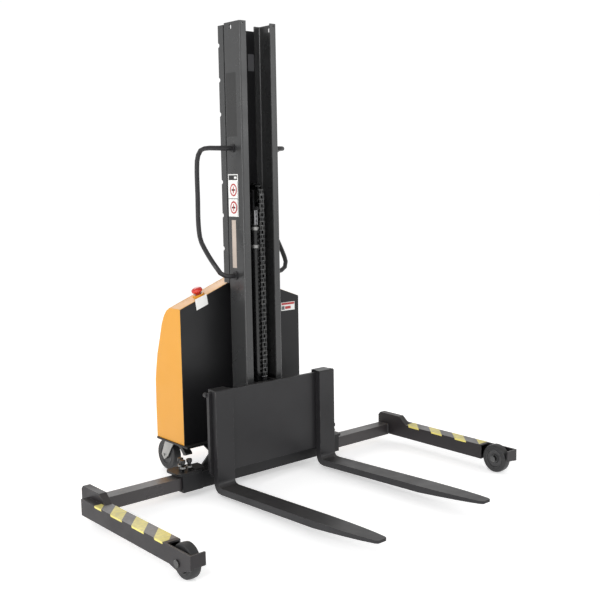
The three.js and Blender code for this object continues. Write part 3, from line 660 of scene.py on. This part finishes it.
def chain_run(name, pins, middle, half, body, node):
    """A run of chain through those pins, in place of a CAD node."""
    shape = Shape()
    for number, (a, b) in enumerate(zip(pins, pins[1:])):
        shape.mark = 0
        odd = [half - inset for inset in ODD_INSETS]
        offsets = odd if number % 2 else (half - EVEN_INSET, EVEN_MIDDLE)
        for offset in offsets:
            for side in (-1, 1):
                link_plate(shape, a, b, middle + side * offset, LINK_T)
    shape.mark = 1
    for y, z in pins:
        profile = [(-half, 0), (-half, PIN_R), (half, PIN_R), (half, 0)]
        shape.turned(at(middle, y, z), (1, 0, 0), profile, 12)
    return shape.make(name, body, [OILED_STEEL, PIN_STEEL_AND_HIGHLIGHT], [node], "steel")


front_low, front_high = span("lift_chain_front")
rear_low, rear_high = span("lift_chain_rear")
top_low, top_high = span("lift_chain_top")
chain_x = (front_low.x + front_high.x) / 2
chain_half = (front_high.x - front_low.x) / 2
front_y = (front_low.y + front_high.y) / 2
rear_y = (rear_low.y + rear_high.y) / 2
arc_y, arc_r = (front_y + rear_y) / 2, (rear_y - front_y) / 2


def straight_pins(y, low, high):
    """Pins up a straight run, evenly spaced and about a pitch apart."""
    count = max(1, round((high - low) / PITCH))
    return [(y, low + (high - low) * i / count) for i in range(count + 1)]


front_chain = chain_run(
    "chain_links_front",
    straight_pins(front_y, front_low.z + LINK_R, front_high.z - RUN_END),
    chain_x,
    chain_half,
    "lift_ram",
    "lift_chain_front",
)
rear_chain = chain_run(
    "chain_links_rear",
    straight_pins(rear_y, rear_low.z + LINK_R, rear_high.z - RUN_END),
    chain_x,
    chain_half,
    None,
    "lift_chain_rear",
)
arc_steps = round(math.pi * arc_r / PITCH)
arc_pins = [
    (
        arc_y - arc_r * math.cos(math.pi * i / arc_steps),
        top_low.z + RUN_END + arc_r * math.sin(math.pi * i / arc_steps),
    )
    for i in range(arc_steps + 1)
]
chain_run("chain_links_top", arc_pins, chain_x, chain_half, "lift_ram", "lift_chain_top")

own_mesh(front_chain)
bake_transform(rear_chain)

# %% [markdown]
# ## Wheels
# The load wheels in the legs and the caster wheels at the back have rounded treads, moulded
# cores with a raised rim, and steel bearings. A bevelled cylinder would show only the tread.
# Turning each profile about the axle gives all three, and they spin true.


# %% Wheels
BORE = 9  # the radius of every axle hole


def wheel(node, body, slot_name, bore, core):
    """A turned wheel in place of a CAD wheel; core is the share of the radius inside the tread."""
    low, high = span(node)
    centre = (low + high) / 2
    radius, half = (high.z - low.z) / 2, (high.x - low.x) / 2
    middle = at(centre.x, centre.y, centre.z)
    rim = radius * core
    shape = Shape()
    tread = [(-half + 1, rim)]
    for step in range(7):
        angle = math.radians(90 * step / 6)
        tread.append((-half + 7 - 6 * math.cos(angle), radius - 8 + 7 * math.sin(angle)))
    tread += [(-half + 15, radius), (half - 15, radius)]
    for step in range(7):
        angle = math.radians(90 * (6 - step) / 6)
        tread.append((half - 7 + 6 * math.cos(angle), radius - 8 + 7 * math.sin(angle)))
    tread += [(half - 1, rim), (-half + 1, rim)]
    shape.turned(middle, (1, 0, 0), tread, 72)
    shape.mark = 1
    inner = bore + 8
    body_profile = [
        (-half + 3, rim),
        (-half, rim - 1.5),
        (-half, rim - 4),
        (-half + 6, rim - 8),
        (-half + 7, inner + 5),
        (-half + 1, inner + 2),
        (-half + 1, inner),
        (half - 1, inner),
        (half - 1, inner + 2),
        (half - 7, inner + 5),
        (half - 6, rim - 8),
        (half, rim - 4),
        (half, rim - 1.5),
        (half - 3, rim),
        (-half + 3, rim),
    ]
    shape.turned(middle, (1, 0, 0), body_profile, 60)
    shape.mark = 2
    race = [(-half + 2, inner), (-half + 2, bore), (half - 2, bore), (half - 2, inner)]
    shape.turned(middle, (1, 0, 0), race + race[:1], 36)
    return shape.make(node + "_turned", body, [TREAD, HUB, OILED_STEEL], [node], slot_name)


for side in SIDES:
    wheel("load_wheel_" + side, "load_wheel_" + side, "black_poly", BORE, core=0.7)
    wheel("caster_wheel_" + side, "caster_wheel_" + side, "black_rubber", BORE, core=0.68)
print("wheels 4")

# %% [markdown]
# ## Lock screws
# Six screws clamp the legs' inner tubes in the receiver. Each has a flared black head, a
# threaded shank and a bright jam nut. A true thread is a helix, which could be made by a
# screw modifier. From any distance rings look the same, and they need far fewer faces.


# %% Lock screws
HEAD_H = 17
THREAD_PITCH = 1.8
THREAD_CREST = 7.9
THREAD_ROOT = 6.7
NUT_R = 12.6


def hexagon(shape, centre, radius, low, high):
    """A hexagonal prism about +Z with its corners chamfered."""
    profile = [(low, 0), (low, radius - 1), (low + 1, radius), (high - 1, radius)]
    shape.turned(centre, (0, 0, 1), profile + [(high, radius - 1), (high, 0)], 6)


def lock_screw(node):
    """A screw in place of one CAD screw."""
    low, high = span(node)
    centre = (low + high) / 2
    foot = at(centre.x, centre.y, 0)
    receiver_top = span("receiver_tube")[1].z
    head = high.z - HEAD_H
    shape = Shape()
    profile = [(low.z, 0), (low.z, 6)]
    height = low.z + 1
    while height < head - 1:
        profile += [(height, THREAD_CREST), (height + THREAD_PITCH / 2, THREAD_ROOT)]
        height += THREAD_PITCH
    profile += [(head, 7), (head, 0)]
    shape.turned(foot, (0, 0, 1), profile, 20)
    shape.mark = 1
    flare = [(head - 4, 0), (head - 4, 8), (head, 9), (head + 4, 12.2), (head + 13, 12.8)]
    shape.turned(foot, (0, 0, 1), flare + [(head + 16, 11.5), (high.z, 8), (high.z, 0)], 32)
    shape.mark = 2
    hexagon(shape, foot, NUT_R, receiver_top + 0.4, receiver_top + 9)
    return shape.make(node + "_threaded", node, [OILED_STEEL, PLASTIC, ZINC], [node], "black_plastic")


for side in SIDES:
    for number in (1, 2, 3):
        lock_screw(f"lock_screw_{side}_{number}")
print("lock screws 6")

# %% [markdown]
# ## Stop button
# A hand slaps this red mushroom to stop the machine. Its dark collar is fixed to the cover
# and stays put when the button travels, so the two are made apart. Both are turned about the
# joint's own axis, which stands square to the sloping top of the cover.

# %% Stop button
press = next(j for j in frame["joints"] if j["name"] == "estop_press")
into = Vector(press["axis"])
seat = Vector(press["pos_m"])
button = Shape()
button.turned(
    seat,
    -into,
    [
        (-5, 0),
        (-5, 12),
        (12, 12),
        (14, 17),
        (17, 22),
        (20, 24.4),
        (25, 25),
        (29, 23.6),
        (33, 19),
        (35.5, 11),
        (36.2, 0),
    ],
    48,
)
button.make("stop_button_mushroom", "estop", [RED], ["estop_button"], "red_plastic")
collar = Shape()
collar.turned(
    seat,
    -into,
    [(0.6, 13), (0.6, 22), (5.5, 21), (7, 18.5), (7, 13), (0.6, 13)],
    40,
)
collar.make("stop_button_collar", "chassis", [PLASTIC], slot="black_plastic")
print("stop button at", [round(v, 3) for v in seat])

# %% [markdown]
# ## Hazard tape
# Slanting yellow and grey blocks warn of the legs along their tops, and the yellow ones fold
# a few millimetres down one edge. They could be a striped texture on the leg. Thin plates
# show the tape's own thickness and its fold, and their edges stay sharp close up.

# %% Hazard tape
TAPE_YELLOW = finish(
    "yellow tape",
    (0.8, 0.69, 0.17),
    0.36,
    worn=(0.3, 0.28, 0.2),
    wear=0.3,
    dust_and_top_light=0.1,
    grain=(500.0, 0.12),
    vary=0.25,
)
TAPE_GREY = finish(
    "grey tape",
    (0.115, 0.11, 0.11),
    0.4,
    worn=(0.2, 0.2, 0.2),
    wear=0.3,
    dust_and_top_light=0.12,
    grain=(500.0, 0.15),
    vary=0.3,
)
TAPE_T = 0.4
TAPE_LEAN = -68.0  # how much further forward a block's outer edge lies
TAPE_FOLD = 7  # how far the fold reaches down the leg's side
TAPE_OVERRUN = 80  # blocks lean, so one may start this far past the tape's end
SHORTEST_FOLD = 8  # a shorter fold is left out
GREY_SHARE = 0.6  # the grey is printed, so it lies lower than the yellow
STOP_RISE = 36.0  # the stop block at a leg's rear rises this far above the leg's top


def clip(corners, high, low):
    """A flat polygon of (x, y) cut to low <= y <= high."""
    for keep, limit in ((1, low), (-1, high)):
        kept = []
        for (xa, ya), (xb, yb) in zip(corners, corners[1:] + corners[:1]):
            a, b = keep * (ya - limit), keep * (yb - limit)
            if a >= 0:
                kept.append((xa, ya))
            if a * b < 0:
                share = a / (a - b)
                kept.append((xa + (xb - xa) * share, limit))
        corners = kept
        if not corners:
            return []
    return corners


def tape(side, fold, first, block, period, ends):
    """Tape on one leg. It folds over its -x (-1) or +x (1) edge and runs between two ends in y."""
    low, high = span("leg_beam_" + side)
    leg_top = high.z - STOP_RISE
    inner, outer = (low.x, high.x) if fold > 0 else (high.x, low.x)
    lean = TAPE_LEAN
    made = Shape()
    start = first
    while start > ends[1] - TAPE_OVERRUN:
        for mark, near, far in ((0, start, start - block), (1, start - block, start - period)):
            made.mark = mark
            lift = TAPE_T if mark == 0 else TAPE_T * GREY_SHARE
            corners = [(inner, near), (inner, far), (outer, far + lean), (outer, near + lean)]
            corners = clip(corners, *ends)
            if len(corners) > 2:
                outline = [at(x, y, leg_top) for x, y in corners]
                made.plate(outline, Vector((0, 0, 0.0001)), Vector((0, 0, lift * MM)))
            top, bottom = min(near + lean, ends[0]), max(far + lean, ends[1])
            if mark == 0 and top - bottom > SHORTEST_FOLD:
                drop = leg_top - TAPE_FOLD
                side_outline = [
                    at(outer, top, leg_top + TAPE_T),
                    at(outer, bottom, leg_top + TAPE_T),
                    at(outer, bottom - 2, drop),
                    at(outer, top - 4, drop),
                ]
                push = Vector((fold * TAPE_T * MM, 0, 0))
                made.plate(side_outline, push * 0.2, push)
        start -= period
    return made.make(
        "hazard_tape_" + side,
        "leg_" + side,
        [TAPE_YELLOW, TAPE_GREY],
        slot="painted_charcoal",
    )


tape("left", fold=-1, first=12.0, block=83.0, period=151.0, ends=(-86.0, -562.0))
tape("right", fold=-1, first=82.0, block=68.0, period=146.0, ends=(-112.0, -566.0))
print("tape on both legs")

# %% [markdown]
# ## Weld beads
# A rippled bead runs round each place where an inner tube meets its leg. It could be a bump
# in the paint, but a weld stands proud and catches the light at its outline, so it is turned
# about its own line with a radius that changes every 2 mm.


# %% Weld beads
WELD = finish(
    "painted weld",
    (0.045, 0.045, 0.047),
    0.32,
    shine=0.6,
    worn=(0.3, 0.3, 0.3),
    wear=0.4,
    grain=(900.0, 0.3),
)
RIPPLE = 2  # a weld's radius changes every so many millimetres
BEAD_R = 2.6
BEAD_SETBACK = 1.5  # the bead's line stands this far from the inner tube's end


def weld_bead(name, body, corners, radius):
    """A rippled bead along straight lines between corners in mm."""
    shape = Shape()
    for a, b in zip(corners, corners[1:]):
        start, end = at(*a), at(*b)
        length = (end - start).length / MM
        profile = [(0, 0)]
        for step in range(int(length / RIPPLE) + 1):
            ripple = radius * (0.82 + 0.18 * random.random()) * (1.0 if step % 2 else 0.86)
            profile.append((step * RIPPLE, ripple))
        profile.append((length + 0.5, 0))
        shape.turned(start, end - start, profile, 8)
    return shape.make(name, body, [WELD], slot="painted_charcoal")


for side, inward in (("left", 1), ("right", -1)):
    low, high = span("leg_tube_" + side)
    x = (low.x if side == "left" else high.x) + inward * BEAD_SETBACK
    front, rear, bottom, top = low.y, high.y, low.z, high.z
    corners = [(x, front, bottom), (x, front, top), (x, rear, top), (x, rear, bottom)]
    weld_bead("weld_leg_" + side, "leg_" + side, corners, BEAD_R)
print("weld beads 2")

# %% [markdown]
# ## Labels
# Plain decals with no lettering: a blank dark plate, a safety plate and a pale strip on the
# mast, a blank square sticker and a small warning plate, and a grey patch of painted sheen on
# the mast's back plate. They could be pictures on planes. Flat shapes a hair apart need no
# picture, and stay sharp at any distance.

# %% Labels
INKS = {
    "white": finish("label white", (0.8, 0.8, 0.78), 0.35, vary=0.08, grain=(300.0, 0.03)),
    "black": finish("label black", (0.012, 0.012, 0.012), 0.3, grain=(300.0, 0.03)),
    "red": finish("label red", (0.42, 0.03, 0.03), 0.35, vary=0.1, grain=(300.0, 0.03)),
    "beige": finish("label beige", (0.5, 0.42, 0.36), 0.4, vary=0.2, grain=(300.0, 0.05)),
    # The grey ink prints the warning plate; on the back plate it is painted sheen.
    "grey": finish("label grey and painted sheen", (0.1, 0.1, 0.105), 0.35, vary=0.2, grain=(300.0, 0.05)),
}
INK_ORDER = list(INKS)


class Decal:
    """Flat shapes on one face: to_space turns (u, v, lift) into a point."""

    def __init__(self, to_space):
        self.shape, self.to_space, self.layer = Shape(), to_space, 0

    def flat(self, ink, outline):
        """One flat shape of (u, v) in mm, a hair above the one before."""
        self.layer += 1
        base = 0.12 * self.layer
        self.shape.mark = INK_ORDER.index(ink)
        low = [self.to_space(u, v, 0.05) for u, v in outline]
        rise = self.to_space(0, 0, 0.05 + base) - self.to_space(0, 0, 0.05)
        self.shape.plate(low, Vector((0, 0, 0)), rise)

    def rect(self, ink, u0, u1, v0, v1):
        """An upright rectangle."""
        self.flat(ink, [(u0, v0), (u1, v0), (u1, v1), (u0, v1)])

    def ellipse(self, ink, u, v, ru, rv, steps=28):
        """A filled ellipse with its middle at (u, v)."""
        turns = [math.tau * i / steps for i in range(steps)]
        self.flat(ink, [(u + ru * math.cos(t), v + rv * math.sin(t)) for t in turns])

    def make(self, name, body):
        """The decal as one object."""
        return self.shape.make(name, body, list(INKS.values()), slot="painted_black")


web_face = span("guard_strip_left")[0].x  # the strip is flush with the channel's outer face


def on_web(u, v, lift):
    """On the outer face of the left mast channel: u is y and v is z."""
    return at(web_face - lift, u, v)


dark = Decal(on_web)
dark.rect("black", 34, 104, 1506, 1772)
dark.make("mast_dark_plate", "chassis")

plate = Decal(on_web)
plate.rect("white", 35, 105, 1166, 1347)
plate.rect("black", 39, 101, 1322, 1343)
plate.rect("white", 44, 62, 1328, 1337)
for v in (1280, 1205):
    plate.rect("black", 37.5, 39, v - 36, v + 36)
    plate.ellipse("red", 68, v, 24, 27)
    plate.ellipse("white", 68, v, 17.5, 20.5)
    plate.rect("black", 56, 80, v - 4, v + 4)
    plate.rect("red", 65, 71, v - 15, v + 15)
plate.rect("black", 37, 103, 1241.5, 1243.5)
plate.make("mast_safety_plate", "chassis")

strip = Decal(on_web)
strip.rect("beige", 57, 86, 944, 1151)
strip.rect("beige", 60, 83, 948, 1147)
strip.make("mast_pale_strip", "chassis")

back_face = span("mast_back_plate")[0].y


def on_back_plate(u, v, lift):
    """On the front of the mast's back plate: u is x and v is z."""
    return at(u, back_face - lift, v)


# A grey patch on the black back plate: painted sheen where that plate faces the light, not a label.
back_sheen_patch = Decal(on_back_plate)
back_sheen_patch.rect("grey", 31, 64, 1791, 1863)
back_sheen_patch.make("mast_back_painted_sheen", "chassis")

panel_face = span("front_panel")[0].y


def on_panel(u, v, lift):
    """On the front panel: u is x and v is z."""
    return at(u, panel_face - lift, v)


sticker = Decal(on_panel)
sticker.flat("white", [(-247, 764), (-186, 786), (-194, 832), (-255, 812)])
sticker.make("panel_square_sticker", "chassis")

warning = Decal(on_panel)
warning.rect("white", 226, 308, 711, 750)
warning.rect("red", 228, 306, 738, 748)
warning.rect("red", 250, 284, 718, 731)
warning.rect("grey", 229, 246, 716, 733)
warning.make("panel_warning_plate", "chassis")
print("labels 6, on the mast's outer face at", round(web_face), "mm")

# %% [markdown]
# ## Studio
# A pale floor, a bright even sky and soft lamps. Strong lamps alone would leave hard shadows
# on black paint, so the sky does most of the work and the lamps only draw out the edges. The
# floor isn't part of the object.

# %% Studio
floor_material = finish(
    "pale floor", (0.96, 0.96, 0.96), 0.8, shine=0.1, vary=0.0, grain=(40.0, 0.01)
)
floor_surface = floor_material.node_tree.nodes["Principled BSDF"]
floor_surface.inputs["Emission Color"].default_value = (1.0, 1.0, 1.0, 1.0)
floor_surface.inputs["Emission Strength"].default_value = 0.42
bpy.ops.mesh.primitive_circle_add(vertices=96, radius=60, fill_type="NGON")
floor = bpy.context.object
floor.name = "studio_floor"
floor.location = (0, 0, -0.0005)
floor.data.materials.append(floor_material)

world = bpy.data.worlds.new("even sky")
bpy.context.scene.world = world
world.use_nodes = True
sky = world.node_tree.nodes["Background"]
sky.inputs["Color"].default_value = (1.0, 1.0, 1.0, 1.0)
compass = world.node_tree.nodes.new("ShaderNodeTexCoord")
split = world.node_tree.nodes.new("ShaderNodeSeparateXYZ")
world.node_tree.links.new(compass.outputs["Generated"], split.inputs["Vector"])
glow = remap(world.node_tree, split.outputs["Z"], 0.12, 0.75, 1.06, 0.5)
world.node_tree.links.new(glow, sky.inputs["Strength"])


def lamp(name, place, target, wide, tall, power):
    """A soft lamp of that size that faces its target, all in metres."""
    light = bpy.data.lights.new(name, "AREA")
    light.shape = "RECTANGLE"
    light.size = wide
    light.size_y = tall
    light.energy = power
    made = bpy.data.objects.new(name, light)
    bpy.context.scene.collection.objects.link(made)
    made.location = place
    made.rotation_mode = "QUATERNION"
    made.rotation_quaternion = (Vector(target) - Vector(place)).to_track_quat("-Z", "Y")
    return made


lamp("key lamp", (-3.6, -3.0, 3.4), (0, 0, 0.9), 1.2, 1.2, 60)
lamp("strip lamp", (-4.4, -0.6, 1.2), (0, 0, 1.1), 0.4, 2.6, 55)
lamp("fill lamp", (2.6, -4.6, 2.2), (0, 0, 0.8), 2.0, 2.4, 40)
lamp("back lamp", (1.5, 4.5, 3.6), (0, 0, 1.0), 2.5, 2.5, 40)
print("lamps 4")

# %% [markdown]
# ## Camera
# It stands in front and to the left, a little above the middle of the mast, looking slightly
# down. Its direction is worked out from three angles, so that each can be read and changed.

# %% Camera
AZIMUTH = math.radians(-40.51)
PITCH_DOWN = math.radians(7.63)
ROLL = math.radians(-0.9)
LENS = 56.109
CAMERA_AT = (-2512.4, -3184.5, 1340.5)
camera_data = bpy.data.cameras.new("camera")
camera_data.sensor_width = 36.0
camera_data.lens = LENS
camera_data.clip_end = 200.0
camera = bpy.data.objects.new("camera", camera_data)
bpy.context.scene.collection.objects.link(camera)
forward = Vector(
    (
        -math.sin(AZIMUTH) * math.cos(PITCH_DOWN),
        math.cos(AZIMUTH) * math.cos(PITCH_DOWN),
        -math.sin(PITCH_DOWN),
    )
)
level = Vector((math.cos(AZIMUTH), math.sin(AZIMUTH), 0))
upward = level.cross(forward)
right = level * math.cos(ROLL) + upward * math.sin(ROLL)
upward = upward * math.cos(ROLL) - level * math.sin(ROLL)
turn = Matrix((right, upward, -forward)).transposed()
camera.matrix_world = Matrix.Translation(at(*CAMERA_AT)) @ turn.to_4x4()
bpy.context.scene.camera = camera
bpy.context.scene.view_settings.view_transform = "Standard"
print("camera at", [round(v, 2) for v in camera.location])
